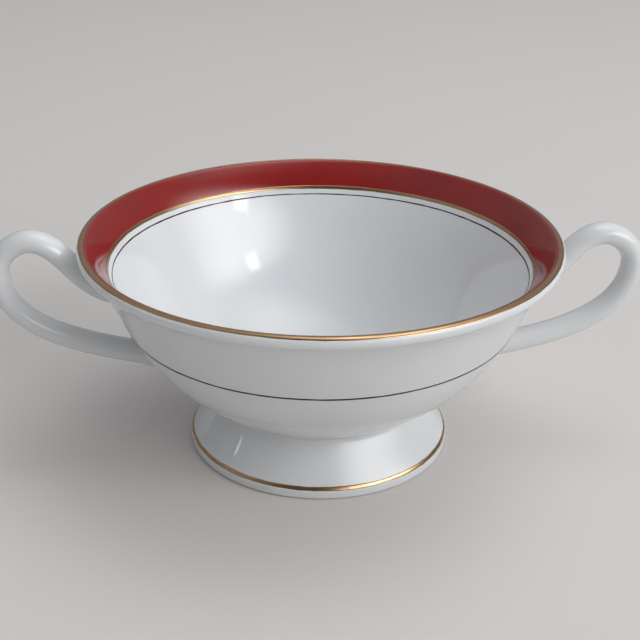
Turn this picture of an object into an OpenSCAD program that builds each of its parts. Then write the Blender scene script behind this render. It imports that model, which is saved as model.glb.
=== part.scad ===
// Footed soup cup with two loop handles, a coloured band inside the rim and gold lines

/* [Bowl] */
// Diameter over the outermost part of the rim
rim_diameter = 121.8; // [118:0.2:126]
// Height of the top of the rim above the table
rim_height = 57.4; // [55:0.2:60]
// Thickness of the rounded edge of the rim
rim_thickness = 3; // [2.4:0.1:3.4]
// Slope of the underside of the flared lip
lip_slope = 37; // [34:1:42]
// Slope of the inside of the bowl where it reaches the rim
inside_slope = 47; // [45:1:51]
// Height of the middle of the inside floor
floor_height = 12.4; // [11.8:0.1:13]
// Thickness of the floor in the middle
floor_thickness = 3; // [2.4:0.1:3.2]

/* [Foot] */
// Diameter over the edge of the foot
foot_diameter = 68.6; // [66:0.2:72]
// Diameter of the neck where the foot meets the bowl
neck_diameter = 54.4; // [53:0.2:56]
// Slope of the foot's side where it reaches the edge
foot_slope = 54; // [50:1:58]
// Thickness of the hollow foot's wall
foot_wall = 3; // [2.4:0.1:3.2]
// Width of the flat ring that the cup stands on
standing_ring_width = 2.4; // [1.8:0.1:3]

/* [Handles] */
// Distance from the cup's middle to the middle of the handle at its outermost point
handle_reach = 81.1; // [79:0.1:84]
// Height of the handle's middle line at its highest point
handle_crown_height = 56.1; // [55:0.1:57.5]
// Thickness of the handle in the plane of its loop
handle_thickness = 5.7; // [5:0.1:6.4]
// Width of the handle across its loop
handle_width = 7.1; // [6.2:0.1:8]
// Height on the wall where the upper end is stuck on
upper_root_height = 42.6; // [41.5:0.1:43.5]
// Height on the wall where the lower end is stuck on
lower_root_height = 23.4; // [22.5:0.1:24.5]

/* [Decoration] */
// Width of the red band inside the rim
band_width = 8.2; // [6:0.1:9.5]
// Width of the gold line over the rim
rim_gold_width = 1.5; // [1.2:0.1:2.4]
// How far the rim's gold line reaches inside from the top of the rim
rim_gold_inside = 0.3; // [0:0.1:0.9]
// Width of the gold line under the red band
band_gold_width = 1; // [0.6:0.1:1.4]
// Plain gap between the band's gold line and the inner hairline
hairline_gap = 1.35; // [1:0.05:2.5]
// Width of the thin line inside
inner_hairline_width = 0.35; // [0.3:0.05:0.6]
// Distance of the outer hairline from the top of the rim, measured over the surface
outer_hairline_drop = 23.95; // [22:0.05:27]
// Width of the thin line round the outside
outer_hairline_width = 0.6; // [0.4:0.05:0.8]
// Width of the gold line above the edge of the foot
foot_gold_width = 1.05; // [0.8:0.05:1.4]
// Thickness that the fired-on colour and gold stand proud of the glaze
fired_on = 0.1; // [0.08:0.01:0.15]

/* [Hidden] */
$fn = 96;

china = [0.90, 0.91, 0.92];
slip = [0.86, 0.87, 0.88];
iron_red = [0.58, 0.17, 0.16];
gold = [0.72, 0.55, 0.32];
bronze = [0.33, 0.26, 0.22];

// Steps along the curves of the profile
wall_steps = 22;
rim_steps = 10;
foot_steps = 10;
edge_steps = 6;

// Rim: a round edge that the inside and the outside run into
rim_radius = rim_thickness / 2;
rim_centre = [rim_diameter / 2 - rim_radius, rim_height - rim_radius];

// Underside of the bowl: a flat disc, a short cone, then the outer wall
base_radius = 16.5;
wall_start_radius = 18.9;
wall_start_depth = 2;
wall_start = [wall_start_radius, floor_height - wall_start_depth];
wall_start_slope = 18;
wall_start_pull = 34.5;
lip_pull = 12;
inside_floor_pull = 46.6;
inside_lip_pull = 21.9;

// Foot: a steep cone that ends in a narrow upright edge
foot_edge_radius = 0.8;
foot_edge_height = 2;
foot_edge_centre = [foot_diameter / 2 - foot_edge_radius, foot_edge_height];
foot_bottom_radius = 0.8;
neck_slope = 60;
neck_pull = 3;
foot_side_pull = 3;
hollow_lean_in = 0.4;
hollow_rise = 3;
hollow_top_lean = 2.2;
fillet_reach = 1.6;
fillet_fullness = 0.6;

// Slip layer between two stuck pieces
slip_thickness = 0.4;
slip_spread = 1.05;

// Middle line of the handle: root, crown, outermost point, root
loop_shoulder = 8.1;
crown_radius = handle_reach - loop_shoulder;
reach_height = handle_crown_height - loop_shoulder;
upper_root_rise = 10;
lower_root_rise = 18;
upper_root_pull = 10.2;
crown_pull_in = 8.4;
crown_pull_out = 3.2;
reach_pull_up = 4.8;
reach_pull_down = 19.5;
lower_root_pull = 9;
root_lead = 9;
root_flare = 0.22;
flare_length = 3.2;
run_steps = 14;
section_sides = 24;

function unit(v) = v / norm(v);
function polar(length, angle) = length * [cos(angle), sin(angle)];
function bezier(a, b, c, d, t) =
    pow(1 - t, 3) * a + 3 * pow(1 - t, 2) * t * b + 3 * (1 - t) * t * t * c + t * t * t * d;
function bezier_run(a, b, c, d, steps) = [for (i = [0 : steps]) bezier(a, b, c, d, i / steps)];
function arc(centre, radius, from, to, steps) =
    [for (i = [0 : steps]) centre + polar(radius, from + (to - from) * i / steps)];
function without_first(list) = [for (i = [1 : len(list) - 1]) list[i]];
function without_ends(list) = [for (i = [1 : 1 : len(list) - 2]) list[i]];
function reversed(list) = [for (i = [len(list) - 1 : -1 : 0]) list[i]];

// Outer wall from the underside to the lip, then over the rim and down the inside
lip_end = rim_centre + polar(rim_radius, lip_slope - 90);
outer_wall = bezier_run(
    wall_start,
    wall_start + polar(wall_start_pull, wall_start_slope),
    lip_end - polar(lip_pull, lip_slope),
    lip_end,
    wall_steps
);
rim_outside = arc(rim_centre, rim_radius, lip_slope - 90, 90, rim_steps);
rim_inside = arc(rim_centre, rim_radius, 90, inside_slope + 90, rim_steps / 2);
inside_start = rim_centre + polar(rim_radius, inside_slope + 90);
inside_wall = bezier_run(
    inside_start,
    inside_start - polar(inside_lip_pull, inside_slope),
    [inside_floor_pull, floor_height],
    [0, floor_height],
    wall_steps
);
crest_index = wall_steps + rim_steps;
surface = concat(
    outer_wall,
    without_first(rim_outside),
    without_first(rim_inside),
    without_first(inside_wall)
);
underside_height = floor_height - floor_thickness;
underside = [[0, underside_height], [base_radius, underside_height]];

// Distance over the surface from the top of the rim: inside is positive, outside negative
surface_length = [
    for (i = 0, s = 0; i < len(surface); i = i + 1,
        s = s + (i < len(surface) ? norm(surface[i] - surface[i - 1]) : 0)) s
];
function distance_at(i) = surface_length[i] - surface_length[crest_index];
function segment_at(s) =
    max([for (i = [0 : len(surface) - 2]) if (distance_at(i) <= s) i]);
function place_at(s) =
    let (i = segment_at(s), part = (s - distance_at(i)) / (distance_at(i + 1) - distance_at(i)))
    surface[i] + part * (surface[i + 1] - surface[i]);
// Reach over the surface, each way, that an outward direction is taken from
outward_reach = 0.45;
function outward_at(s) =
    let (along = unit(place_at(s + outward_reach) - place_at(s - outward_reach)))
    [along.y, -along.x];
function stations(from, to) = concat(
    [from],
    [for (i = [0 : len(surface) - 1]) if (distance_at(i) > from && distance_at(i) < to) distance_at(i)],
    [to]
);
// Section of a fired-on ring that lies on the bowl between two distances from the rim
function ring_section(from, to) =
    let (list = stations(from, to))
    concat(
        [for (s = list) place_at(s)],
        [for (s = reversed(list)) place_at(s) + fired_on * outward_at(s)]
    );

// Radius of the outer wall at a height
function wall_radius(z) = lookup(z, [for (p = outer_wall) [p.y, p.x]]);

// Outer wall moved outward by a thickness
function wall_outward(i) =
    let (along = unit(surface[i + 1] - surface[max(i - 1, 0)]))
    [along.y, -along.x];
function raised_wall(thickness) =
    [for (i = [0 : wall_steps]) outer_wall[i] + thickness * wall_outward(i)];

// Foot: side, gold line, round edge, standing ring and hollow
neck_radius = neck_diameter / 2;
neck_top = [neck_radius, lookup(neck_radius, outer_wall)];
foot_outward = 90 - foot_slope;
side_end = foot_edge_centre + polar(foot_edge_radius, foot_outward);
gold_top = side_end - polar(foot_gold_width, -foot_slope);
foot_side = bezier_run(
    neck_top - [0, slip_thickness],
    neck_top + polar(neck_pull, -neck_slope),
    gold_top - polar(foot_side_pull, -foot_slope),
    gold_top,
    foot_steps
);
foot_edge = arc(foot_edge_centre, foot_edge_radius, foot_outward, 0, edge_steps);
foot_bottom_centre = [foot_diameter / 2 - foot_bottom_radius, foot_bottom_radius];
foot_bottom = arc(foot_bottom_centre, foot_bottom_radius, 0, -90, edge_steps);
ring_inner_radius = foot_diameter / 2 - foot_bottom_radius - standing_ring_width;
hollow_start = [ring_inner_radius, 0];
hollow_top = [neck_radius - foot_wall, lookup(neck_radius - foot_wall, outer_wall) - slip_thickness];
foot_hollow = bezier_run(
    hollow_start,
    hollow_start + [-hollow_lean_in, hollow_rise],
    hollow_top + [hollow_top_lean, -foot_wall],
    hollow_top,
    foot_steps
);

// Slip between bowl and foot: a thin layer with a blended fillet on its outside
function underside_between(from, to) = concat(
    [[from, lookup(from, outer_wall)]],
    [for (p = outer_wall) if (p.x > from && p.x < to) p],
    [[to, lookup(to, outer_wall)]]
);
function lowered(list) = [for (p = list) p - [0, slip_thickness]];
seat = underside_between(neck_radius - foot_wall, neck_radius);
fillet_seat = underside_between(neck_radius, neck_radius + fillet_reach);
fillet_start = fillet_seat[len(fillet_seat) - 1];
neck_covered = [for (p = foot_side) if (p.y > neck_top.y - fillet_reach) p];
fillet_end = neck_covered[len(neck_covered) - 1];
fillet = bezier_run(
    fillet_start,
    fillet_start + (neck_top - fillet_start) * fillet_fullness,
    fillet_end + (neck_top - fillet_end) * fillet_fullness,
    fillet_end,
    foot_steps
);

// Handle: middle line in the plane of the loop
upper_root = [wall_radius(upper_root_height), upper_root_height];
lower_root = [wall_radius(lower_root_height), lower_root_height];
crown = [crown_radius, handle_crown_height];
outermost = [handle_reach, reach_height];
handle_line = concat(
    [upper_root - polar(root_lead, upper_root_rise)],
    bezier_run(
        upper_root,
        upper_root + polar(upper_root_pull, upper_root_rise),
        crown - [crown_pull_in, 0],
        crown,
        run_steps
    ),
    without_first(bezier_run(
        crown,
        crown + [crown_pull_out, 0],
        outermost + [0, reach_pull_up],
        outermost,
        run_steps / 2
    )),
    without_first(bezier_run(
        outermost,
        outermost - [0, reach_pull_down],
        lower_root + polar(lower_root_pull, lower_root_rise),
        lower_root,
        run_steps
    )),
    [lower_root - polar(root_lead, lower_root_rise)]
);
last_ring = len(handle_line) - 1;
function root_distance(p) = min(norm(p - upper_root), norm(p - lower_root));
function swell(i) =
    i == 0 || i == last_ring ? 1 + root_flare
    : 1 + root_flare * exp(-root_distance(handle_line[i]) / flare_length);
function handle_ring(i, spread) =
    let (
        p = handle_line[i],
        along = unit(handle_line[min(i + 1, last_ring)] - handle_line[max(i - 1, 0)]),
        across = [-along.y, along.x],
        half_thickness = handle_thickness / 2 * swell(i) * spread,
        half_width = handle_width / 2 * swell(i) * spread
    )
    [
        for (k = [0 : section_sides - 1])
            let (a = 360 * k / section_sides, in_plane = p + half_thickness * cos(a) * across)
            [in_plane.x, half_width * sin(a), in_plane.y]
    ];

module revolve(section) {
    rotate_extrude() polygon(section);
}

// Everything inside the outer wall, grown by a thickness
module wall_core(thickness) {
    raised = raised_wall(thickness);
    revolve(concat([[0, raised[0].y]], raised, [[0, raised[wall_steps].y]]));
}

// Loop of round rod, its ends buried in the wall
module handle_rod(spread) {
    rings = [for (i = [0 : last_ring]) each handle_ring(i, spread)];
    sides = [
        for (i = [0 : last_ring - 1], k = [0 : section_sides - 1])
            let (
                a = i * section_sides + k,
                b = i * section_sides + (k + 1) % section_sides
            )
            each [
                [a, b, b + section_sides],
                [a, b + section_sides, a + section_sides]
            ]
    ];
    first_cap = [[for (k = [section_sides - 1 : -1 : 0]) k]];
    last_cap = [[for (k = [0 : section_sides - 1]) last_ring * section_sides + k]];
    polyhedron(points = rings, faces = concat(sides, first_cap, last_cap));
}

// Side is 1 for the right and -1 for the left
module on_side(side) {
    rotate([0, 0, side > 0 ? 0 : 180]) children();
}

module handle(side) {
    on_side(side) difference() {
        handle_rod(1);
        wall_core(slip_thickness);
    }
}

// Slip under one end of a handle, between two heights on the wall
module joint_slip(side, low, high) {
    on_side(side) intersection() {
        difference() {
            handle_rod(slip_spread);
            wall_core(0);
        }
        wall_core(slip_thickness);
        translate([rim_diameter / 4, -rim_diameter / 4, low])
            cube([rim_diameter / 2, rim_diameter / 2, high - low]);
    }
}

roots_middle = (upper_root_height + lower_root_height) / 2;

module bowl() {
    color(china) revolve(concat(underside, surface));
}

module foot() {
    color(china) revolve(concat(
        foot_side,
        foot_edge,
        foot_bottom,
        foot_hollow,
        without_ends(lowered(seat))
    ));
}

module left_handle() {
    color(china) handle(-1);
}

module right_handle() {
    color(china) handle(1);
}

module foot_joint_slip() {
    color(slip) revolve(concat(
        seat,
        without_first(fillet_seat),
        without_first(fillet),
        without_first(reversed(neck_covered)),
        without_first(reversed(lowered(seat)))
    ));
}

module left_upper_joint_slip() {
    color(slip) joint_slip(-1, roots_middle, rim_height);
}

module left_lower_joint_slip() {
    color(slip) joint_slip(-1, 0, roots_middle);
}

module right_upper_joint_slip() {
    color(slip) joint_slip(1, roots_middle, rim_height);
}

module right_lower_joint_slip() {
    color(slip) joint_slip(1, 0, roots_middle);
}

band_end = rim_gold_inside + band_width;
gold_end = band_end + band_gold_width;
inner_hairline_start = gold_end + hairline_gap;
outer_hairline_end = -outer_hairline_drop - outer_hairline_width;

module red_band() {
    color(iron_red) revolve(ring_section(rim_gold_inside, band_end));
}

module rim_gold_line() {
    color(gold) revolve(ring_section(rim_gold_inside - rim_gold_width, rim_gold_inside));
}

module band_gold_line() {
    color(gold) revolve(ring_section(band_end, gold_end));
}

module inner_hairline() {
    color(bronze) revolve(ring_section(inner_hairline_start, inner_hairline_start + inner_hairline_width));
}

module outer_hairline() {
    color(bronze) revolve(ring_section(outer_hairline_end, -outer_hairline_drop));
}

module foot_gold_line() {
    raised = polar(fired_on, foot_outward);
    color(gold) revolve([gold_top, side_end, side_end + raised, gold_top + raised]);
}

bowl();
foot();
left_handle();
right_handle();
foot_joint_slip();
left_upper_joint_slip();
left_lower_joint_slip();
right_upper_joint_slip();
right_lower_joint_slip();
red_band();
rim_gold_line();
band_gold_line();
inner_hairline();
outer_hairline();
foot_gold_line();
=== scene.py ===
"""Soup cup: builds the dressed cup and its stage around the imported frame."""

import math

import bmesh
import bpy
import numpy as np
from bpy.props import FloatProperty, FloatVectorProperty, PointerProperty
from mathutils import Matrix, Vector


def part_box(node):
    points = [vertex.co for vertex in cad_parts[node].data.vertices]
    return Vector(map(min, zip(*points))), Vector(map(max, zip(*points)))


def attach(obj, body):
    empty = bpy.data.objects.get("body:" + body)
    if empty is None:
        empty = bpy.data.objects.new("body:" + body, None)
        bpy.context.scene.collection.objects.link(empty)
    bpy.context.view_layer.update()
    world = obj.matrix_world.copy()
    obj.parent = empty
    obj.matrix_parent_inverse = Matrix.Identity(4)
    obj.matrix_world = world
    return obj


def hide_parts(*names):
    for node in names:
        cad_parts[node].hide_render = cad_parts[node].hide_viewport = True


bl_info = {
    "name": "Soup Cup",
    "version": (1, 0, 0),
    "blender": (4, 5, 0),
    "location": "View3D > Sidebar > Soup Cup",
    "description": "Builds a footed soup cup of glazed china with two handles, and its stage",
    "category": "Object",
}

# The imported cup, and its box before anything is added
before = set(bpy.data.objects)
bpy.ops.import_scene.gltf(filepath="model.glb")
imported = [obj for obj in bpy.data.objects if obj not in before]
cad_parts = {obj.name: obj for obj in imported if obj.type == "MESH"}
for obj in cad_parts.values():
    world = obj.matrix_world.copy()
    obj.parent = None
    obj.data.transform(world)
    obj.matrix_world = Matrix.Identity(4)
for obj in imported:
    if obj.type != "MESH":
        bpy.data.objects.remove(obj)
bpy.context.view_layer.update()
BODY = "root"
BOWL_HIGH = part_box("bowl")[1]
FOOT_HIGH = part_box("foot")[1]
HANDLE_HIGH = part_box("right_handle")[1]

MM = 0.001
TURN = 2 * math.pi

# Mesh detail
ROUND_STEPS = 288
RING_STEPS = 720
WALL_STEPS = 72
RIM_STEPS = 28
FOOT_STEPS = 28
EDGE_STEPS = 14
LOOP_STEPS = 120
LOOP_RINGS = 150
LOOP_SIDES = 64
FILLET_STEPS = 12
BAND_STEPS = 32
LINE_STEPS = 8
SHARP_ANGLE = math.radians(50)
MERGE_DISTANCE = 1e-7

# Pulls and leans that shape the bowl's half section
WALL_START_RADIUS = 18.9 * MM
WALL_START_DEPTH = 2 * MM
WALL_START_SLOPE = math.radians(18)
WALL_START_PULL = 34.5 * MM
LIP_PULL = 12 * MM
INSIDE_FLOOR_PULL = 46.6 * MM
INSIDE_LIP_PULL = 21.9 * MM
UNDERSIDE_PULL = 12 * MM
UNDERSIDE_EDGE_PULL = 3.5 * MM

# Pulls and leans that shape the foot's half section
FOOT_EDGE_RADIUS = 0.8 * MM
FOOT_EDGE_HEIGHT = 2 * MM
FOOT_BOTTOM_RADIUS = 0.8 * MM
NECK_SLOPE = math.radians(60)
NECK_PULL = 3 * MM
FOOT_SIDE_PULL = 3 * MM
HOLLOW_LEAN_IN = 0.4 * MM
HOLLOW_RISE = 3 * MM
HOLLOW_TOP_LEAN = 2.2 * MM
SLIP_THICKNESS = 0.4 * MM
NECK_FILLET_REACH = 1.6 * MM
NECK_FILLET_FULLNESS = 0.6

# Pulls that shape the handle's loop, and the swelling at its ends
LOOP_SHOULDER = 8.1 * MM
UPPER_ROOT_RISE = math.radians(10)
LOWER_ROOT_RISE = math.radians(18)
UPPER_ROOT_PULL = 10.2 * MM
CROWN_PULL_IN = 8.4 * MM
CROWN_PULL_OUT = 3.2 * MM
REACH_PULL_UP = 4.8 * MM
REACH_PULL_DOWN = 19.5 * MM
LOWER_ROOT_PULL = 9 * MM
ROOT_LEAD = 9 * MM
ROOT_FLARE = 0.22
FLARE_LENGTH = 3.2 * MM
ROOT_BLEND = 14 * MM
ROOT_SINK = 0.1 * MM

# Wiped fillet of slip round each end of a handle
JOINT_FILLET_RADIUS = 1.1 * MM
JOINT_FILLET_LEAST = 0.7 * MM
JOINT_FILLET_MOST = 2.2 * MM
JOINT_FILLET_ROOT = 0.25 * MM

# Small steps that show which way a handle's skin runs
PROBE_STEP = 0.1 * MM
PROBE_TURN = TURN / 720

# Fired-on colour and gold
RING_EDGE_POWER = 6
RING_SINK = 0.02 * MM
BAND_TUCK = 0.25 * MM
WANDER_WAVES = (3, 7, 13, 24, 41, 67)

# First seed of the wandering edges of each kind of line, and how many seeds a line takes
BAND_SEED = 11
GOLD_SEED = 20
HAIRLINE_SEED = 40
SEEDS_PER_LINE = 2

# Glaze, and the wear of red and gold; here and below, scales of noise and cells are per metre
GLAZE_IOR = 1.52
PEBBLE_SHARE = 0.012
WEAR_PATCH_RANGE = (0.45, 0.75)
WEAR_LEVEL = 0.8
WEAR_EDGE = 0.05

# White china with its kiln specks and bare standing ring
CHINA_CLOUDS = 42.0
CHINA_SMUDGES = 120.0
CHINA_SMUDGE_RANGE = (0.3, 0.75)
CHINA_ROUGHNESS = (0.035, 0.075)
SPECK_CELLS = 85.0
SPECK_RARITY = (0.86, 0.87)
SPECK_RADIUS = (0.014, 0.03)
SPECK_STRENGTH = 0.7
BARE_EDGE_NOISE = 700.0
BARE_EDGE_WANDER = 0.4 * MM
BARE_HEIGHT = 0.2 * MM
BARE_ROUGHNESS = 0.7

# Fired red, whose depth is made up of streaks, stipple and clouds
RED_STIPPLE = 2600.0
RED_CLOUDS = 60.0
RED_STREAK_SHARE = 0.2
RED_STIPPLE_SHARE = 0.3
RED_CLOUD_SHARE = 0.5
RED_DEPTH_RANGE = (0.35, 0.65)
RED_ROUGHNESS = (0.07, 0.15)
RED_WEAR_STRENGTH = 0.4

# Gold, burnished on the lines and dark on the hairlines
GOLD_COLOUR_RANGE = (0.35, 0.7)
GOLD_GLOSS_RANGE = (0.3, 0.7)
GOLD_ROUGHENING = 0.12
BURNISHED_WEAR = 0.04
BURNISHED_ROUGHNESS = 0.16
DARK_GOLD_WEAR = 0.16
DARK_GOLD_ROUGHNESS = 0.3

# Floor
FLOOR_RADIUS = 4
FLOOR_SIDES = 96
FLOOR_CLOUDS = 6.0
FLOOR_SHADE = 0.97

# Shares of the way up, and of the way to the front, between which the surround changes
BACKDROP_TOP = 0.1
CEILING_FULL = 0.5
FRONT_EDGE = 0.2
FRONT_FULL = 0.75

# Camera; the sensor is in millimetres
SENSOR_WIDTH = 36
CLIP_START = 10 * MM


def length(name, description, default):
    """Property for a length in metres."""
    return FloatProperty(
        name=name, description=description, default=default, min=0, precision=5,
        unit="LENGTH", subtype="DISTANCE",
    )


def angle(name, description, degrees):
    """Property for an angle."""
    return FloatProperty(
        name=name, description=description, default=math.radians(degrees), unit="ROTATION", subtype="ANGLE"
    )


def power(name, description, watts):
    """Property for the power of a lamp."""
    return FloatProperty(
        name=name, description=description, default=watts, min=0, precision=3, unit="POWER"
    )


def linear(channel):
    """One channel of a screen colour, 0 to 255, as linear light."""
    value = channel / 255
    return value / 12.92 if value <= 0.04045 else ((value + 0.055) / 1.055) ** 2.4


def colour(name, description, red, green, blue):
    """Property for a colour that is given as it looks on a screen."""
    return FloatVectorProperty(
        name=name, description=description, size=4, min=0, max=1, subtype="COLOR",
        default=(linear(red), linear(green), linear(blue), 1),
    )


class BowlSizes(bpy.types.PropertyGroup):
    """Sizes of the bowl"""

    rim_radius: length("Rim radius", "Radius over the outermost part of the rim", BOWL_HIGH.y)
    rim_height: length("Rim height", "Height of the top of the rim", BOWL_HIGH.z)
    rim_thickness: length("Rim thickness", "Thickness of the rounded edge", 3 * MM)
    lip_slope: angle("Lip slope", "Slope of the underside of the flared lip", 37)
    inside_slope: angle("Inside slope", "Slope of the inside where it reaches the rim", 47)
    floor_height: length("Floor height", "Height of the middle of the inside floor", 12.4 * MM)
    floor_thickness: length("Floor thickness", "Thickness of the floor in the middle", 3 * MM)


class FootSizes(bpy.types.PropertyGroup):
    """Sizes of the foot"""

    foot_radius: length("Foot radius", "Radius over the edge of the foot", FOOT_HIGH.x)
    neck_radius: length("Neck radius", "Radius where the foot meets the bowl", 27.2 * MM)
    slope: angle("Slope", "Slope of the foot's side where it reaches the edge", 54)
    foot_wall: length("Foot wall", "Thickness of the hollow foot's wall", 3 * MM)
    standing_ring: length("Standing ring", "Width of the flat ring that the cup stands on", 2.4 * MM)


class HandleSizes(bpy.types.PropertyGroup):
    """Sizes of the two handles"""

    reach: length("Reach", "Distance of the outermost part of a handle from the middle", HANDLE_HIGH.x)
    crown: length("Crown height", "Height of the top of a handle", HANDLE_HIGH.z)
    thickness: length("Thickness", "Thickness in the plane of the loop", 5.7 * MM)
    width: length("Width", "Width across the loop", 7.1 * MM)
    upper_root: length("Upper root", "Height on the wall of the upper end", 42.6 * MM)
    lower_root: length("Lower root", "Height on the wall of the lower end", 23.4 * MM)


class DecorationSizes(bpy.types.PropertyGroup):
    """Sizes of the red band and the gold lines"""

    band_width: length("Band width", "Width of the red band inside the rim", 8.2 * MM)
    rim_gold: length("Rim gold", "Width of the gold line over the rim", 1.5 * MM)
    rim_gold_inside: length("Rim gold inside", "Reach of that line inside from the rim's top", 0.3 * MM)
    band_gold: length("Band gold", "Width of the gold line under the red band", 1 * MM)
    hairline_gap: length("Hairline gap", "Plain gap between band gold and inner hairline", 1.35 * MM)
    inner_hairline: length("Inner hairline", "Width of the thin line inside", 0.35 * MM)
    outer_drop: length("Outer drop", "Distance of the outer hairline from the top of the rim", 23.95 * MM)
    outer_hairline: length("Outer hairline", "Width of the thin line round the outside", 0.6 * MM)
    foot_gold: length("Foot gold", "Width of the gold line above the foot's edge", 1.05 * MM)
    colour_lift: length("Colour lift", "Height of the fired-on red over the glaze", 0.04 * MM)
    gold_lift: length("Gold lift", "Height of the gold over the glaze", 0.07 * MM)
    wander: length("Wander", "How far the edges of a line wander", 0.035 * MM)


class FinishColours(bpy.types.PropertyGroup):
    """Colours of the finishes"""

    china: colour("China", "White glazed china", 226, 228, 229)
    china_shade: colour("China shade", "Slightly greyer clouds in the china", 217, 220, 223)
    bare_clay: colour("Bare clay", "Unglazed clay of the standing ring", 206, 200, 188)
    speck: colour("Kiln speck", "Tiny specks in the glaze", 118, 112, 106)
    iron_red: colour("Iron red", "Fired-on red of the band", 147, 31, 27)
    iron_red_deep: colour("Deep iron red", "Thicker parts of the red", 129, 24, 22)
    gold: colour("Gold", "Burnished gold", 190, 156, 117)
    gold_worn: colour("Worn gold", "Gold rubbed thin", 165, 134, 105)
    dark_gold: colour("Dark gold", "Thin dark gold of the hairlines", 64, 46, 41)
    dark_gold_thin: colour("Thin dark gold", "Parts of the hairlines with less gold", 88, 68, 60)


class StageSettings(bpy.types.PropertyGroup):
    """Floor, light and camera"""

    floor: colour("Floor", "Colour of the floor", 218, 214, 211)
    backdrop: colour("Backdrop", "Colour behind the floor, up to a little over the horizon", 134, 133, 132)
    ceiling: colour("Ceiling", "Colour of the surround overhead", 172, 174, 177)
    front: colour("Front", "Colour of the surround overhead on the camera's side", 96, 97, 99)
    right_power: power("Right softbox", "Power of the small softbox on the right", 0.24)
    side_power: power("Side softbox", "Power of the wide softbox at the right side", 112.0)
    left_power: power("Left softbox", "Power of the small softbox on the left", 0.03)
    top_power: power("Top softbox", "Power of the softbox overhead", 20.0)
    lens: FloatProperty(
        name="Lens", description="Focal length on a 36 mm sensor", default=67.5, unit="CAMERA"
    )
    azimuth: angle("Azimuth", "Direction of the camera round the cup", -4.27)
    elevation: angle("Elevation", "Angle of the camera above the table", 25.5)
    roll: angle("Roll", "Turn of the camera about its own axis", 0.72)
    distance: length("Distance", "Distance of the camera from the point it looks at", 312.9 * MM)
    aim_height: length("Aim height", "Height of the point that the camera looks at", 32.89 * MM)


def polar(radius, turn):
    """Point at a distance and an angle from the origin."""
    return radius * np.array((math.cos(turn), math.sin(turn)))


def bezier(start, start_pull, end_pull, end, steps):
    """Points along a curve from start to end, drawn by its two pulls."""
    t = np.linspace(0, 1, steps + 1)[:, None]
    points = [np.asarray(p, float) for p in (start, start_pull, end_pull, end)]
    weights = ((1 - t) ** 3, 3 * (1 - t) ** 2 * t, 3 * (1 - t) * t**2, t**3)
    return sum(w * p for w, p in zip(weights, points))


def arc(centre, radius, start, end, steps):
    """Points along an arc between two angles."""
    turns = np.linspace(start, end, steps + 1)
    return centre + radius * np.stack((np.cos(turns), np.sin(turns)), axis=1)


def joined(*runs):
    """Runs of points as one, each end shared with the next start."""
    return np.concatenate([runs[0], *(run[1:] for run in runs[1:])])


def unit(vectors):
    """Vectors of length one."""
    return vectors / np.linalg.norm(vectors, axis=-1, keepdims=True)


def run_length(points):
    """Distance of each point along a run from its first point."""
    return np.concatenate(([0], np.cumsum(np.linalg.norm(np.diff(points, axis=0), axis=1))))


def along_run(distance, lengths, values):
    """Values at distances along a run, one column at a time."""
    return np.stack([np.interp(distance, lengths, column) for column in values.T], axis=-1)


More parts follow.
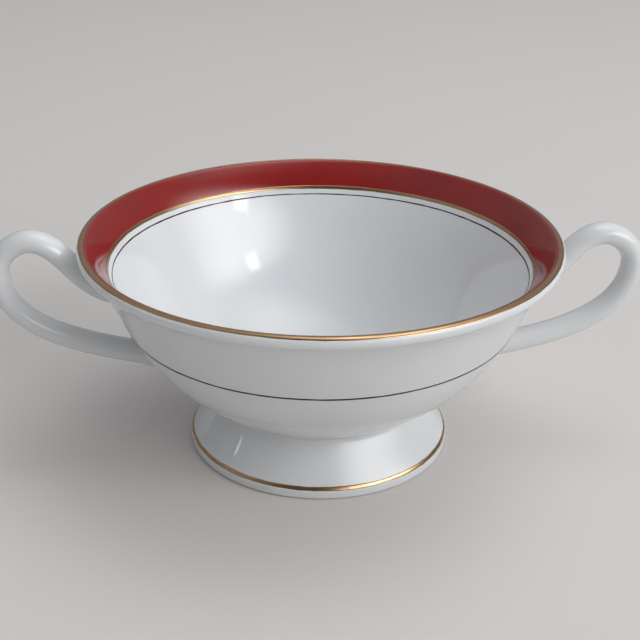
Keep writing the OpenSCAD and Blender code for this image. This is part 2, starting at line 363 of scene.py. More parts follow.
class BowlProfile:
    """Half section of the bowl, measured over its surface from the crest of the rim: inside is positive."""

    def __init__(self, sizes):
        rim_radius = sizes.rim_thickness / 2
        rim_centre = np.array((sizes.rim_radius - rim_radius, sizes.rim_height - rim_radius))
        lip_end = rim_centre + polar(rim_radius, sizes.lip_slope - TURN / 4)
        inside_start = rim_centre + polar(rim_radius, sizes.inside_slope + TURN / 4)
        wall_start = np.array((WALL_START_RADIUS, sizes.floor_height - WALL_START_DEPTH))
        floor_middle = np.array((0, sizes.floor_height))
        underside = np.array((0, sizes.floor_height - sizes.floor_thickness))
        self.outer = bezier(
            wall_start,
            wall_start + polar(WALL_START_PULL, WALL_START_SLOPE),
            lip_end - polar(LIP_PULL, sizes.lip_slope),
            lip_end,
            WALL_STEPS,
        )
        rim_outside = arc(rim_centre, rim_radius, sizes.lip_slope - TURN / 4, TURN / 4, RIM_STEPS)
        rim_inside = arc(rim_centre, rim_radius, TURN / 4, sizes.inside_slope + TURN / 4, RIM_STEPS // 2)
        inside = bezier(
            inside_start,
            inside_start - polar(INSIDE_LIP_PULL, sizes.inside_slope),
            (INSIDE_FLOOR_PULL, sizes.floor_height),
            floor_middle,
            WALL_STEPS,
        )
        self.underside = bezier(
            underside,
            underside + (UNDERSIDE_PULL, 0),
            wall_start - polar(UNDERSIDE_EDGE_PULL, WALL_START_SLOPE),
            wall_start,
            FOOT_STEPS,
        )
        self.surface = joined(self.outer, rim_outside, rim_inside, inside)
        lengths = run_length(self.surface)
        self.from_crest = lengths - lengths[WALL_STEPS + RIM_STEPS]
        ahead = unit(np.gradient(self.surface, self.from_crest, axis=0))
        self.normals = np.stack((ahead[:, 1], -ahead[:, 0]), axis=1)

    def section(self):
        """Half section from the axis under the floor, over the rim and back to the axis."""
        return joined(self.underside, self.surface)

    def place(self, distance):
        """Point of the surface at a distance from the crest."""
        return along_run(distance, self.from_crest, self.surface)

    def outward(self, distance):
        """Direction off the surface at a distance from the crest."""
        return unit(along_run(distance, self.from_crest, self.normals))

    def wall_radius(self, height):
        """Radius of the outer wall at a height."""
        return np.interp(height, self.outer[:, 1], self.outer[:, 0])

    def wall_height(self, radius):
        """Height of the outer wall at a radius."""
        return np.interp(radius, self.outer[:, 0], self.outer[:, 1])

    def wall_between(self, start, end):
        """Points of the outer wall between two radii."""
        radii = np.linspace(start, end, FILLET_STEPS + 1)
        return np.stack((radii, self.wall_height(radii)), axis=1)

    def wall_outward(self, points):
        """Direction off the outer wall at points in space."""
        normal = along_run(points[..., 2], self.outer[:, 1], self.normals[: WALL_STEPS + 1])
        round_axis = unit(points[..., :2])
        return unit(np.concatenate((round_axis * normal[..., :1], normal[..., 1:]), axis=-1))

    def on_wall(self, points):
        """Points moved level on to the outer wall."""
        radius = self.wall_radius(points[..., 2])[..., None]
        return np.concatenate((unit(points[..., :2]) * radius, points[..., 2:]), axis=-1)


class FootProfile:
    """Half section of the foot and of the slip that joins it to the bowl."""

    def __init__(self, sizes, bowl, gold_width):
        self.slope = sizes.slope
        edge_centre = np.array((sizes.foot_radius - FOOT_EDGE_RADIUS, FOOT_EDGE_HEIGHT))
        edge = arc(edge_centre, FOOT_EDGE_RADIUS, TURN / 4 - self.slope, 0, EDGE_STEPS)
        self.side_end = edge[0]
        gold_top = self.place(gold_width)
        inner_radius = sizes.neck_radius - sizes.foot_wall
        drop = np.array((0, SLIP_THICKNESS))
        self.seat = bowl.wall_between(inner_radius, sizes.neck_radius)
        neck_top = self.seat[-1]
        side = bezier(
            neck_top - drop,
            neck_top + polar(NECK_PULL, -NECK_SLOPE),
            self.place(gold_width + FOOT_SIDE_PULL),
            gold_top,
            FOOT_STEPS,
        )
        bottom_centre = (sizes.foot_radius - FOOT_BOTTOM_RADIUS, FOOT_BOTTOM_RADIUS)
        bottom = arc(bottom_centre, FOOT_BOTTOM_RADIUS, 0, -TURN / 4, EDGE_STEPS)
        hollow_start = bottom[-1] - (sizes.standing_ring, 0)
        hollow_top = self.seat[0] - drop
        hollow = bezier(
            hollow_start,
            hollow_start + (-HOLLOW_LEAN_IN, HOLLOW_RISE),
            hollow_top + (HOLLOW_TOP_LEAN, -sizes.foot_wall),
            hollow_top,
            FOOT_STEPS,
        )
        lowered_seat = self.seat - drop
        self.outline = np.concatenate((side, edge, bottom, hollow, lowered_seat[1:-1]))
        fillet_seat = bowl.wall_between(sizes.neck_radius, sizes.neck_radius + NECK_FILLET_REACH)
        covered = side[side[:, 1] > neck_top[1] - NECK_FILLET_REACH]
        fillet = bezier(
            fillet_seat[-1],
            fillet_seat[-1] + (neck_top - fillet_seat[-1]) * NECK_FILLET_FULLNESS,
            covered[-1] + (neck_top - covered[-1]) * NECK_FILLET_FULLNESS,
            covered[-1],
            FILLET_STEPS,
        )
        bowl_and_side = joined(self.seat, fillet_seat, fillet, covered[::-1])
        self.slip = np.concatenate((bowl_and_side, lowered_seat[-2::-1]))

    def place(self, distance):
        """Point of the foot's side at a distance up it from its edge."""
        return self.side_end - np.asarray(distance)[..., None] * polar(1, -self.slope)

    def outward(self, distance):
        """Direction off the foot's side."""
        return np.broadcast_to(polar(1, TURN / 4 - self.slope), (*np.shape(distance), 2))


class HandleLoop:
    """Skin of the right handle: an oval section swept along its middle line, both ends inside the wall."""

    def __init__(self, sizes, bowl):
        reach = sizes.reach - sizes.thickness / 2
        crown_height = sizes.crown - sizes.thickness / 2
        upper = np.array((bowl.wall_radius(sizes.upper_root), sizes.upper_root))
        lower = np.array((bowl.wall_radius(sizes.lower_root), sizes.lower_root))
        crown = np.array((reach - LOOP_SHOULDER, crown_height))
        outermost = np.array((reach, crown_height - LOOP_SHOULDER))
        first = upper - polar(ROOT_LEAD, UPPER_ROOT_RISE)
        last = lower - polar(ROOT_LEAD, LOWER_ROOT_RISE)
        line = joined(
            np.linspace(first, upper, LOOP_STEPS // 2),
            bezier(
                upper, upper + polar(UPPER_ROOT_PULL, UPPER_ROOT_RISE),
                crown - (CROWN_PULL_IN, 0), crown, LOOP_STEPS,
            ),
            bezier(
                crown, crown + (CROWN_PULL_OUT, 0),
                outermost + (0, REACH_PULL_UP), outermost, LOOP_STEPS,
            ),
            bezier(
                outermost, outermost - (0, REACH_PULL_DOWN),
                lower + polar(LOWER_ROOT_PULL, LOWER_ROOT_RISE), lower, LOOP_STEPS,
            ),
            np.linspace(lower, last, LOOP_STEPS // 2),
        )
        self.line = line
        self.run = run_length(line)
        self.half_way = np.argmax(line[:, 0])
        ahead = unit(np.gradient(line, self.run, axis=0))
        self.across = np.stack((-ahead[:, 1], ahead[:, 0]), axis=1)
        upper_run = self.run[LOOP_STEPS // 2 - 1]
        lower_run = self.run[-LOOP_STEPS // 2]
        root_distance = np.minimum(self.run - upper_run, lower_run - self.run).clip(min=0)
        self.swell = 1 + ROOT_FLARE * np.exp(-root_distance / FLARE_LENGTH)
        self.half = np.array((sizes.thickness, sizes.width)) / 2
        self.turns = np.linspace(0, TURN, LOOP_SIDES, endpoint=False)
        self.starts, self.ends = self.wall_crossings(bowl)

    def at(self, run, turn):
        """Points of the skin at distances along the line and angles round the section."""
        swell = np.interp(run, self.run, self.swell)
        across = unit(along_run(run, self.run, self.across))
        in_plane = (self.half[0] * swell * np.cos(turn))[..., None] * across
        middle = along_run(run, self.run, self.line) + in_plane
        side = self.half[1] * swell * np.sin(turn)
        return np.stack((middle[..., 0], side, middle[..., 1]), axis=-1)

    def wall_crossings(self, bowl):
        """Distances along the line where each line of the skin comes out of the wall and goes back in."""
        runs, turns = np.meshgrid(self.run, self.turns, indexing="ij")
        points = self.at(runs, turns)
        clear = np.hypot(points[..., 0], points[..., 1]) - bowl.wall_radius(points[..., 2])
        starts, ends = [], []
        for column in clear.T:
            inside = np.flatnonzero(column <= 0)
            before = inside[inside < self.half_way].max()
            after = inside[inside > self.half_way].min()
            starts.append(np.interp(0, column[before : before + 2], self.run[before : before + 2]))
            ends.append(np.interp(0, column[after : after - 2 : -1], self.run[after : after - 2 : -1]))
        return np.array(starts), np.array(ends)

    def rings(self):
        """Rings of the skin from wall to wall; near the wall they turn to lie along it."""
        start, end = self.starts.mean(), self.ends.mean()
        runs = np.linspace(start, end, LOOP_RINGS)[:, None]
        near_start = (1 - (runs - start) / ROOT_BLEND).clip(min=0) ** 2
        near_end = (1 - (end - runs) / ROOT_BLEND).clip(min=0) ** 2
        runs = runs + near_start * (self.starts - start) + near_end * (self.ends - end)
        runs[0] -= ROOT_SINK
        runs[-1] += ROOT_SINK
        return self.at(runs, np.broadcast_to(self.turns, runs.shape))

    def joint_fillet(self, bowl, upper):
        """Closed sections round one end, from the handle in a hollow curve on to the wall."""
        runs = self.starts if upper else self.ends
        step = 1 if upper else -1
        corner = self.at(runs, self.turns)
        handle_way = unit(self.at(runs + step * PROBE_STEP, self.turns) - corner)
        round_way = self.at(runs, self.turns + PROBE_TURN) - self.at(runs, self.turns - PROBE_TURN)
        off_handle = unit(np.cross(round_way, handle_way)) * -step
        off_wall = bowl.wall_outward(corner)
        wall_way = unit(off_handle - (off_handle * off_wall).sum(-1, keepdims=True) * off_wall)
        opening = np.arccos((handle_way * wall_way).sum(-1).clip(-1, 1))
        reach = (JOINT_FILLET_RADIUS / np.tan(opening / 2)).clip(JOINT_FILLET_LEAST, JOINT_FILLET_MOST)
        on_handle = self.at(runs + step * reach, self.turns)
        on_wall = bowl.on_wall(corner + wall_way * reach[:, None])
        t = np.linspace(0, 1, FILLET_STEPS + 1)[:, None, None]
        hollow = (1 - t) ** 2 * on_handle + 2 * t * (1 - t) * corner + t**2 * on_wall
        root = corner - unit(handle_way + wall_way) * JOINT_FILLET_ROOT
        return np.concatenate((hollow, root[None])).transpose(1, 0, 2)


def skin(name, grid, wrap_rows=False, wrap_columns=True, capped=False):
    """Piece with a smooth mesh over a grid of points."""
    rows, columns = grid.shape[:2]
    index = np.arange(rows * columns).reshape(rows, columns)
    row_pairs = [(i, (i + 1) % rows) for i in range(rows if wrap_rows else rows - 1)]
    column_pairs = [(j, (j + 1) % columns) for j in range(columns if wrap_columns else columns - 1)]
    faces = [
        (index[i, j], index[i, n], index[m, n], index[m, j]) for i, m in row_pairs for j, n in column_pairs
    ]
    if capped:
        faces += [tuple(index[0]), tuple(index[-1])]
    mesh = bpy.data.meshes.new(name)
    mesh.from_pydata(grid.reshape(-1, 3).tolist(), [], [[int(v) for v in face] for face in faces])
    shape = bmesh.new()
    shape.from_mesh(mesh)
    bmesh.ops.remove_doubles(shape, verts=shape.verts, dist=MERGE_DISTANCE)
    bmesh.ops.recalc_face_normals(shape, faces=shape.faces)
    shape.to_mesh(mesh)
    shape.free()
    mesh.shade_smooth()
    mesh.set_sharp_from_angle(angle=SHARP_ANGLE)
    piece = bpy.data.objects.new(name, mesh)
    bpy.context.collection.objects.link(piece)
    return piece


def revolved(sections, turns):
    """Grid of points with one half section at each angle round the axis."""
    radius, height = sections[..., 0], np.broadcast_to(sections[..., 1], (len(turns), sections.shape[-2]))
    return np.stack((radius * np.cos(turns)[:, None], radius * np.sin(turns)[:, None], height), axis=-1)


def lathe(name, section, closed=True):
    """Piece turned from a half section; an open section starts and ends on the axis."""
    turns = np.linspace(0, TURN, ROUND_STEPS, endpoint=False)
    return skin(name, revolved(section[None], turns), wrap_rows=True, wrap_columns=closed)


def hand_wander(turns, size, seed):
    """Small wandering of a line drawn by hand on a turning wheel."""
    phases = np.random.default_rng(seed).uniform(0, TURN, len(WANDER_WAVES))
    waves = [
        np.sin(count * turns + phase) / (1 + n) ** 0.5
        for n, (count, phase) in enumerate(zip(WANDER_WAVES, phases))
    ]
    return size * sum(waves)


def fired_ring(name, surface, start, end, lift, wander, seed, steps):
    """Thin ring fired on to a turned surface between two distances over it."""
    turns = np.linspace(0, TURN, RING_STEPS, endpoint=False)
    begin = start + hand_wander(turns, wander, seed)
    finish = end + hand_wander(turns, wander, seed + 1)
    share = (1 - np.cos(np.linspace(0, math.pi, steps + 1))) / 2
    distance = begin[:, None] + (finish - begin)[:, None] * share
    rise = lift * (1 - np.abs(2 * share - 1) ** RING_EDGE_POWER)
    place, outward = surface.place(distance), surface.outward(distance)
    top = place + outward * rise[:, None]
    base = place - outward * RING_SINK
    return skin(name, revolved(np.concatenate((top, base[:, ::-1]), axis=1), turns), wrap_rows=True)


def on_left(points):
    """Points of the right handle turned half round the axis."""
    return points * (-1, -1, 1)


def add_node(tree, kind, inputs=None, **settings):
    """Shader node with its settings, and with values or links on its inputs."""
    node = tree.nodes.new(kind)
    for key, value in settings.items():
        setattr(node, key, value)
    for socket, value in (inputs or {}).items():
        if isinstance(value, bpy.types.NodeSocket):
            tree.links.new(value, node.inputs[socket])
        else:
            node.inputs[socket].default_value = value
    return node


def math_node(tree, operation, first, second=0.0):
    """Result of one sum on two values."""
    return add_node(tree, "ShaderNodeMath", {0: first, 1: second}, operation=operation).outputs[0]


def noise(tree, place, scale, detail=2.0, roughness=0.5):
    """Soft noise over the surface."""
    inputs = {"Vector": place, "Scale": scale, "Detail": detail, "Roughness": roughness}
    return add_node(tree, "ShaderNodeTexNoise", inputs).outputs["Fac"]


def spread(tree, value, low, high, at_low=0.0, at_high=1.0):
    """Value moved smoothly from one range to another."""
    inputs = {"Value": value, "From Min": low, "From Max": high, "To Min": at_low, "To Max": at_high}
    return add_node(tree, "ShaderNodeMapRange", inputs, interpolation_type="SMOOTHSTEP").outputs["Result"]


def blend_colour(tree, mask, first, second):
    """First colour where the mask is 0 and second where it is 1."""
    inputs = {0: mask, 6: first, 7: second}
    return add_node(tree, "ShaderNodeMix", inputs, data_type="RGBA").outputs[2]


def blend_value(tree, mask, first, second):
    """First value where the mask is 0 and second where it is 1."""
    return add_node(tree, "ShaderNodeMix", {0: mask, 2: first, 3: second}, data_type="FLOAT").outputs[0]


def object_place(tree):
    """Place on the cup in metres."""
    return add_node(tree, "ShaderNodeTexCoord").outputs["Object"]


def split(tree, vector):
    """The three parts of a vector."""
    return add_node(tree, "ShaderNodeSeparateXYZ", {0: vector}).outputs


def effect(name, inputs, outputs):
    """New node group with number inputs, and its input and output nodes."""
    tree = bpy.data.node_groups.new(name, "ShaderNodeTree")
    for label, value in inputs.items():
        socket = tree.interface.new_socket(label, in_out="INPUT", socket_type="NodeSocketFloat")
        socket.default_value = value
    for label, kind in outputs.items():
        tree.interface.new_socket(label, in_out="OUTPUT", socket_type=kind)
    given = tree.nodes.new("NodeGroupInput").outputs
    result = tree.nodes.new("NodeGroupOutput").inputs
    return tree, given, result


def make_glaze_ripple():
    """Slow ripples and a fine pebbling that bend the reflections in a fired glaze."""
    tree, given, result = effect(
        "glaze_ripple",
        {"Ripple scale": 60.0, "Pebble scale": 900.0, "Height": 0.02 * MM},
        {"Normal": "NodeSocketVector"},
    )
    place = object_place(tree)
    slow = noise(tree, place, given["Ripple scale"], detail=1.0)
    fine = noise(tree, place, given["Pebble scale"], detail=1.0)
    height = math_node(tree, "ADD", slow, math_node(tree, "MULTIPLY", fine, PEBBLE_SHARE))
    bump = add_node(tree, "ShaderNodeBump", {"Height": height, "Distance": given["Height"]})
    tree.links.new(bump.outputs["Normal"], result["Normal"])
    return tree


def make_banding_streaks():
    """Faint streaks that run round the cup, left by a brush on a turning wheel."""
    tree, given, result = effect(
        "banding_streaks",
        {"Across scale": 2500.0, "Round scale": 3.0},
        {"Streak": "NodeSocketFloat"},
    )
    parts = split(tree, object_place(tree))
    flat = add_node(tree, "ShaderNodeCombineXYZ", {"X": parts["X"], "Y": parts["Y"]}).outputs[0]
    radius = add_node(tree, "ShaderNodeVectorMath", {0: flat}, operation="LENGTH").outputs["Value"]
    way = add_node(tree, "ShaderNodeVectorMath", {0: flat}, operation="NORMALIZE").outputs["Vector"]
    way_parts = split(tree, way)
    across = math_node(tree, "MULTIPLY", math_node(tree, "ADD", radius, parts["Z"]), given["Across scale"])
    place = add_node(
        tree,
        "ShaderNodeCombineXYZ",
        {
            "X": math_node(tree, "MULTIPLY", way_parts["X"], given["Round scale"]),
            "Y": math_node(tree, "MULTIPLY", way_parts["Y"], given["Round scale"]),
            "Z": across,
        },
    ).outputs[0]
    tree.links.new(noise(tree, place, 1.0, detail=3.0), result["Streak"])
    return tree


def make_handling_wear():
    """Small rubbed flecks, gathered in patches, where colour or gold has worn off."""
    tree, given, result = effect(
        "handling_wear",
        {"Fleck scale": 1600.0, "Patch scale": 45.0, "Amount": 0.3},
        {"Worn": "NodeSocketFloat"},
    )
    place = object_place(tree)
    flecks = noise(tree, place, given["Fleck scale"], detail=3.0, roughness=0.6)
    patches = noise(tree, place, given["Patch scale"], detail=1.0)
    gathered = math_node(tree, "MULTIPLY", spread(tree, patches, *WEAR_PATCH_RANGE), given["Amount"])
    level = math_node(tree, "SUBTRACT", WEAR_LEVEL, gathered)
    excess = math_node(tree, "SUBTRACT", flecks, level)
    tree.links.new(spread(tree, excess, 0.0, WEAR_EDGE), result["Worn"])
    return tree


EFFECTS = {
    "glaze_ripple": make_glaze_ripple,
    "banding_streaks": make_banding_streaks,
    "handling_wear": make_handling_wear,
}


def apply_effect(tree, name, inputs):
    """Outputs of a shared effect placed in a material with its own values."""
    group = bpy.data.node_groups.get(name) or EFFECTS[name]()
    return add_node(tree, "ShaderNodeGroup", inputs, node_tree=group).outputs


def new_finish(name, **constants):
    """Material with one Principled shader that has these constants, and its node tree."""
    material = bpy.data.materials.new(name)
    material.use_nodes = True
    tree = material.node_tree
    tree.nodes.clear()
    shader = add_node(tree, "ShaderNodeBsdfPrincipled", constants)
    add_node(tree, "ShaderNodeOutputMaterial", {"Surface": shader.outputs["BSDF"]})
    return material, tree, shader


def connect(tree, shader, **sockets):
    """Links values to the shader's inputs, named with underscores for spaces."""
    for socket, value in sockets.items():
        tree.links.new(value, shader.inputs[socket.replace("_", " ")])


def kiln_specks(tree, place):
    """Mask of tiny specks, one in each of a few cells of the glaze."""
    inputs = {"Vector": place, "Scale": SPECK_CELLS, "Randomness": 1.0}
    cells = add_node(tree, "ShaderNodeTexVoronoi", inputs).outputs
    chance = add_node(tree, "ShaderNodeSeparateColor", {0: cells["Color"]}).outputs[0]
    rare = spread(tree, chance, *SPECK_RARITY)
    dot = spread(tree, cells["Distance"], *SPECK_RADIUS, 1.0, 0.0)
    specks = math_node(tree, "MULTIPLY", dot, rare)
    return math_node(tree, "MULTIPLY", specks, SPECK_STRENGTH)


def bare_ring(tree, place):
    """Mask of the unglazed standing ring, with a ragged edge."""
    wander = math_node(tree, "MULTIPLY", noise(tree, place, BARE_EDGE_NOISE), BARE_EDGE_WANDER)
    ragged = math_node(tree, "SUBTRACT", split(tree, place)["Z"], wander)
    return spread(tree, ragged, 0.0, BARE_HEIGHT, 1.0, 0.0)


def make_white_china(colours):
    """White glossy glaze with faint clouds and rare specks; the standing ring is bare clay."""
    material, tree, shader = new_finish("white_china", IOR=GLAZE_IOR)
    place = object_place(tree)
    clouds = noise(tree, place, CHINA_CLOUDS)
    body = blend_colour(tree, clouds, tuple(colours.china), tuple(colours.china_shade))
    speckled = blend_colour(tree, kiln_specks(tree, place), body, tuple(colours.speck))
    bare = bare_ring(tree, place)
    smudges = noise(tree, place, CHINA_SMUDGES, detail=4.0)
    gloss = spread(tree, smudges, *CHINA_SMUDGE_RANGE, *CHINA_ROUGHNESS)
    ripple = apply_effect(
        tree, "glaze_ripple", {"Ripple scale": 55.0, "Pebble scale": 800.0, "Height": 0.02 * MM}
    )
    connect(
        tree, shader,
        Base_Color=blend_colour(tree, bare, speckled, tuple(colours.bare_clay)),
        Roughness=blend_value(tree, bare, gloss, BARE_ROUGHNESS),
        Normal=ripple["Normal"],
    )
    return material


def make_fired_red(colours):
    """Glossy fired-on red with brushed streaks, fine stipple and a few rubbed flecks."""
    material, tree, shader = new_finish("fired_red", IOR=GLAZE_IOR)
    place = object_place(tree)
    streaks = apply_effect(tree, "banding_streaks", {"Across scale": 1400.0, "Round scale": 2.5})["Streak"]
    worn = apply_effect(
        tree, "handling_wear", {"Fleck scale": 1500.0, "Patch scale": 40.0, "Amount": 0.1}
    )["Worn"]
    ripple = apply_effect(
        tree, "glaze_ripple", {"Ripple scale": 70.0, "Pebble scale": 1100.0, "Height": 0.04 * MM}
    )
    streak_depth = math_node(tree, "MULTIPLY", streaks, RED_STREAK_SHARE)
    stipple_depth = math_node(tree, "MULTIPLY", noise(tree, place, RED_STIPPLE), RED_STIPPLE_SHARE)
    cloud_depth = math_node(tree, "MULTIPLY", noise(tree, place, RED_CLOUDS), RED_CLOUD_SHARE)
    depth = math_node(tree, "ADD", streak_depth, math_node(tree, "ADD", stipple_depth, cloud_depth))
    deep = spread(tree, depth, *RED_DEPTH_RANGE)
    body = blend_colour(tree, deep, tuple(colours.iron_red), tuple(colours.iron_red_deep))
    rubbed = math_node(tree, "MULTIPLY", worn, RED_WEAR_STRENGTH)
    connect(
        tree, shader,
        Base_Color=blend_colour(tree, rubbed, body, tuple(colours.china_shade)),
        Roughness=spread(tree, depth, *RED_DEPTH_RANGE, *RED_ROUGHNESS),
        Normal=ripple["Normal"],
    )
    return material


def make_gilding(name, bright, thin, glaze, wear, roughness):
    """Fired-on gold with burnishing streaks; where it has worn through, the glaze shows."""
    material, tree, shader = new_finish(name)
    streaks = apply_effect(tree, "banding_streaks", {"Across scale": 5000.0, "Round scale": 6.0})["Streak"]
    worn = apply_effect(
        tree, "handling_wear", {"Fleck scale": 1900.0, "Patch scale": 60.0, "Amount": wear}
    )["Worn"]
    ripple = apply_effect(
        tree, "glaze_ripple", {"Ripple scale": 160.0, "Pebble scale": 2400.0, "Height": 0.03 * MM}
    )
    body = blend_colour(tree, spread(tree, streaks, *GOLD_COLOUR_RANGE), tuple(bright), tuple(thin))
    connect(
        tree, shader,
        Base_Color=blend_colour(tree, worn, body, tuple(glaze)),
        Metallic=blend_value(tree, worn, 1.0, 0.0),
        Roughness=spread(tree, streaks, *GOLD_GLOSS_RANGE, roughness, roughness + GOLD_ROUGHENING),
        Normal=ripple["Normal"],
    )
    return material


def make_burnished_gold(colours):
    """Gold of the rim, the band's edge and the foot."""
    return make_gilding(
        "burnished_gold", colours.gold, colours.gold_worn, colours.china_shade,
        BURNISHED_WEAR, BURNISHED_ROUGHNESS,
    )


def make_dark_gold(colours):
    """Thin dark gold of the hairlines."""
    return make_gilding(
        "dark_gold", colours.dark_gold, colours.dark_gold_thin, colours.china_shade,
        DARK_GOLD_WEAR, DARK_GOLD_ROUGHNESS,
    )


FINISHES = {
    "white_china": make_white_china,
    "fired_red": make_fired_red,
    "burnished_gold": make_burnished_gold,
    "dark_gold": make_dark_gold,
}


def dress(piece, node, finish):
    """Gives a piece its finish, sets it on the cup's body and hides its CAD node."""
    colours = bpy.context.scene.cup_colours
    piece.data.materials.append(bpy.data.materials.get(finish) or FINISHES[finish](colours))
    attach(piece, BODY)
    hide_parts(node)


def bowl_profile():
    """Half section of the bowl at its present sizes."""
    return BowlProfile(bpy.context.scene.cup_bowl)


def foot_profile():
    """Half section of the foot and its slip at their present sizes."""
    scene = bpy.context.scene
    return FootProfile(scene.cup_foot, bowl_profile(), scene.cup_decoration.foot_gold)


class CUP_OT_make_bowl(bpy.types.Operator):
    """Builds the bowl"""

    bl_idname = "cup.make_bowl"
    bl_label = "Bowl"

    def execute(self, context):
        bowl = lathe("glazed_bowl", bowl_profile().section(), closed=False)
        dress(bowl, "bowl", "white_china")
        return {"FINISHED"}


class CUP_OT_make_foot(bpy.types.Operator):
    """Builds the foot and the fillet of slip that joins it to the bowl"""

    bl_idname = "cup.make_foot"
    bl_label = "Foot"

    def execute(self, context):
        foot = foot_profile()
        dress(lathe("glazed_foot", foot.outline), "foot", "white_china")
        dress(lathe("foot_fillet", foot.slip), "foot_joint_slip", "white_china")
        return {"FINISHED"}


class CUP_OT_make_handles(bpy.types.Operator):
    """Builds the two handles and the fillets of slip at their ends"""

    bl_idname = "cup.make_handles"
    bl_label = "Handles"

    def execute(self, context):
        bowl = bowl_profile()
        loop = HandleLoop(context.scene.cup_handles, bowl)
        fillets = {"upper": loop.joint_fillet(bowl, True), "lower": loop.joint_fillet(bowl, False)}
        for side, turned in (("right", np.asarray), ("left", on_left)):
            handle = skin(f"glazed_{side}_handle", turned(loop.rings()), capped=True)
            dress(handle, f"{side}_handle", "white_china")
            for end, sections in fillets.items():
                fillet = skin(f"{side}_{end}_fillet", turned(sections), wrap_rows=True)
                dress(fillet, f"{side}_{end}_joint_slip", "white_china")
        return {"FINISHED"}


class CUP_OT_make_red_band(bpy.types.Operator):
    """Builds the red band inside the rim, tucked under the gold on both sides"""

    bl_idname = "cup.make_red_band"
    bl_label = "Red band"

    def execute(self, context):
        sizes = context.scene.cup_decoration
        start = sizes.rim_gold_inside
        end = start + sizes.band_width
        band = fired_ring(
            "fired_red_band", bowl_profile(), start - BAND_TUCK, end + BAND_TUCK,
            sizes.colour_lift, sizes.wander, BAND_SEED, BAND_STEPS,
        )
        dress(band, "red_band", "fired_red")
        return {"FINISHED"}


class CUP_OT_make_gold_lines(bpy.types.Operator):
    """Builds the gold lines on the rim, under the red band and on the foot"""

    bl_idname = "cup.make_gold_lines"
    bl_label = "Gold lines"

    def execute(self, context):
        sizes = context.scene.cup_decoration
        bowl = bowl_profile()
        rim_end = sizes.rim_gold_inside
        band_end = rim_end + sizes.band_width
        lines = (
            ("rim_gold", "rim_gold_line", bowl, rim_end - sizes.rim_gold, rim_end),
            ("band_gold", "band_gold_line", bowl, band_end, band_end + sizes.band_gold),
            ("foot_gold", "foot_gold_line", foot_profile(), 0, sizes.foot_gold),
        )
        for order, (name, node, surface, start, end) in enumerate(lines):
            seed = GOLD_SEED + SEEDS_PER_LINE * order
            line = fired_ring(name, surface, start, end, sizes.gold_lift, sizes.wander, seed, LINE_STEPS)
            dress(line, node, "burnished_gold")
        return {"FINISHED"}


class CUP_OT_make_hairlines(bpy.types.Operator):
    """Builds the thin dark gold lines inside and outside the bowl"""

    bl_idname = "cup.make_hairlines"
    bl_label = "Hairlines"

    def execute(self, context):
        sizes = context.scene.cup_decoration
        bowl = bowl_profile()
        inner = sizes.rim_gold_inside + sizes.band_width + sizes.band_gold + sizes.hairline_gap
        outer = -sizes.outer_drop - sizes.outer_hairline
        lines = (("inner", inner, sizes.inner_hairline), ("outer", outer, sizes.outer_hairline))
        for order, (side, start, width) in enumerate(lines):
            seed = HAIRLINE_SEED + SEEDS_PER_LINE * order
            line = fired_ring(
                f"fired_{side}_hairline", bowl, start, start + width,
                sizes.gold_lift, sizes.wander, seed, LINE_STEPS,
            )
            dress(line, f"{side}_hairline", "dark_gold")
        return {"FINISHED"}


def make_floor(settings):
    """Plain pale floor that keeps the cup's shadow."""
    mesh = bpy.data.meshes.new("floor")
    shape = bmesh.new()
    bmesh.ops.create_circle(shape, cap_ends=True, segments=FLOOR_SIDES, radius=FLOOR_RADIUS)
    shape.to_mesh(mesh)
    shape.free()
    floor = bpy.data.objects.new("floor", mesh)
    bpy.context.collection.objects.link(floor)
    material, tree, shader = new_finish("pale_floor", Roughness=0.75, IOR=1.4)
    red, green, blue, alpha = settings.floor
    shade = (FLOOR_SHADE * red, FLOOR_SHADE * green, FLOOR_SHADE * blue, alpha)
    clouds = noise(tree, object_place(tree), FLOOR_CLOUDS)
    connect(tree, shader, Base_Color=blend_colour(tree, clouds, tuple(settings.floor), shade))
    mesh.materials.append(material)


def direction(azimuth, elevation):
    """Direction from the cup towards an azimuth and elevation."""
    level = math.cos(elevation)
    return Vector((math.sin(azimuth) * level, -math.cos(azimuth) * level, math.sin(elevation)))


def make_softbox(name, watts, azimuth, elevation, distance, width, height, fade):
    """Rectangular lamp that faces the cup and fades over a share of its width and height at each edge."""
    lamp = bpy.data.lights.new(name, "AREA")
    lamp.shape = "RECTANGLE"
    lamp.size = width
    lamp.size_y = height
    lamp.energy = watts
    lamp.use_nodes = True
    tree = lamp.node_tree
    tree.nodes.clear()
    across = split(tree, add_node(tree, "ShaderNodeNewGeometry").outputs["Parametric"])
    fades = []
    for axis in ("X", "Y"):
        from_middle = math_node(tree, "ABSOLUTE", math_node(tree, "SUBTRACT", across[axis], 0.5))
        fades.append(spread(tree, from_middle, 0.5 - fade, 0.5, 1.0, 0.0))
    glow = add_node(tree, "ShaderNodeEmission", {"Strength": math_node(tree, "MULTIPLY", *fades)})
    add_node(tree, "ShaderNodeOutputLight", {"Surface": glow.outputs["Emission"]})
    piece = bpy.data.objects.new(name, lamp)
    way = direction(math.radians(azimuth), math.radians(elevation))
    piece.location = way * distance
    piece.rotation_mode = "QUATERNION"
    piece.rotation_quaternion = way.to_track_quat("Z", "Y")
    bpy.context.collection.objects.link(piece)


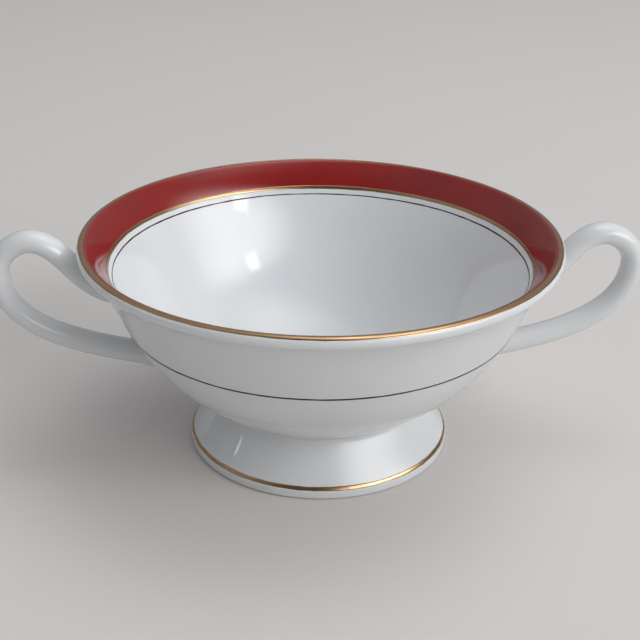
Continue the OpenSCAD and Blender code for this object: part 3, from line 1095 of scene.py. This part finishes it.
def make_surround(settings):
    """Grey backdrop that turns into a ceiling overhead, pale at the back and dim at the front."""
    world = bpy.data.worlds.new("surround")
    world.use_nodes = True
    tree = world.node_tree
    tree.nodes.clear()
    way = split(tree, add_node(tree, "ShaderNodeTexCoord").outputs["Generated"])
    overhead = spread(tree, way["Z"], BACKDROP_TOP, CEILING_FULL)
    forward = spread(tree, way["Y"], -FRONT_FULL, -FRONT_EDGE, 1.0, 0.0)
    ceiling = blend_colour(tree, forward, tuple(settings.ceiling), tuple(settings.front))
    seen = blend_colour(tree, overhead, tuple(settings.backdrop), ceiling)
    light = add_node(tree, "ShaderNodeBackground", {"Color": seen, "Strength": 1.0})
    add_node(tree, "ShaderNodeOutputWorld", {"Surface": light.outputs["Background"]})
    bpy.context.scene.world = world


def make_camera(settings):
    """Camera at the height, side and distance from which the cup is shown."""
    data = bpy.data.cameras.new("cup_camera")
    data.sensor_width = SENSOR_WIDTH
    data.lens = settings.lens
    data.clip_start = CLIP_START
    back = direction(settings.azimuth, settings.elevation)
    roll = Matrix.Rotation(settings.roll, 3, back)
    right = roll @ Vector((math.cos(settings.azimuth), math.sin(settings.azimuth), 0))
    turned = Matrix((right, back.cross(right), back)).transposed()
    camera = bpy.data.objects.new("cup_camera", data)
    place = Vector((0, 0, settings.aim_height)) + back * settings.distance
    camera.matrix_world = Matrix.Translation(place) @ turned.to_4x4()
    bpy.context.collection.objects.link(camera)
    bpy.context.scene.camera = camera


class CUP_OT_set_stage(bpy.types.Operator):
    """Sets the floor, the light and the camera"""

    bl_idname = "cup.set_stage"
    bl_label = "Stage"

    def execute(self, context):
        settings = context.scene.cup_stage
        make_floor(settings)
        make_softbox(
            "right_softbox", settings.right_power,
            azimuth=51, elevation=40, distance=0.75, width=0.13, height=0.12, fade=0.25,
        )
        make_softbox(
            "side_softbox", settings.side_power,
            azimuth=52, elevation=30, distance=2.4, width=4.4, height=1.6, fade=0.45,
        )
        make_softbox(
            "left_softbox", settings.left_power,
            azimuth=-84, elevation=16, distance=0.8, width=0.05, height=0.04, fade=0.25,
        )
        make_softbox(
            "top_softbox", settings.top_power,
            azimuth=120, elevation=74, distance=1.3, width=1.8, height=1.4, fade=0.5,
        )
        make_surround(settings)
        make_camera(settings)
        context.scene.view_settings.view_transform = "Standard"
        return {"FINISHED"}


class CUP_PT_panel(bpy.types.Panel):
    """Sidebar panel with the cup's sizes, colours and pieces"""

    bl_label = "Soup Cup"
    bl_idname = "CUP_PT_panel"
    bl_space_type = "VIEW_3D"
    bl_region_type = "UI"
    bl_category = "Soup Cup"

    def draw(self, context):
        for name in SETTINGS:
            group = getattr(context.scene, name)
            box = self.layout.box()
            for key in group.bl_rna.properties.keys():
                if key not in {"rna_type", "name"}:
                    box.prop(group, key)
        for operator in OPERATORS:
            self.layout.operator(operator.bl_idname)


SETTINGS = {
    "cup_bowl": BowlSizes,
    "cup_foot": FootSizes,
    "cup_handles": HandleSizes,
    "cup_decoration": DecorationSizes,
    "cup_colours": FinishColours,
    "cup_stage": StageSettings,
}
OPERATORS = (
    CUP_OT_make_bowl,
    CUP_OT_make_foot,
    CUP_OT_make_handles,
    CUP_OT_make_red_band,
    CUP_OT_make_gold_lines,
    CUP_OT_make_hairlines,
    CUP_OT_set_stage,
)


def register():
    """Adds the settings, the operators and the panel."""
    for cls in (*SETTINGS.values(), *OPERATORS, CUP_PT_panel):
        bpy.utils.register_class(cls)
    for name, group in SETTINGS.items():
        setattr(bpy.types.Scene, name, PointerProperty(type=group))


def unregister():
    """Takes the settings, the operators and the panel away."""
    for name in SETTINGS:
        delattr(bpy.types.Scene, name)
    for cls in (CUP_PT_panel, *reversed(OPERATORS), *SETTINGS.values()):
        bpy.utils.unregister_class(cls)


def main():
    """Builds the cup piece by piece."""
    register()
    bpy.ops.cup.make_bowl()
    bpy.ops.cup.make_foot()
    bpy.ops.cup.make_handles()
    bpy.ops.cup.make_red_band()
    bpy.ops.cup.make_gold_lines()
    bpy.ops.cup.make_hairlines()
    bpy.ops.cup.set_stage()


if __name__ == "__main__":
    main()
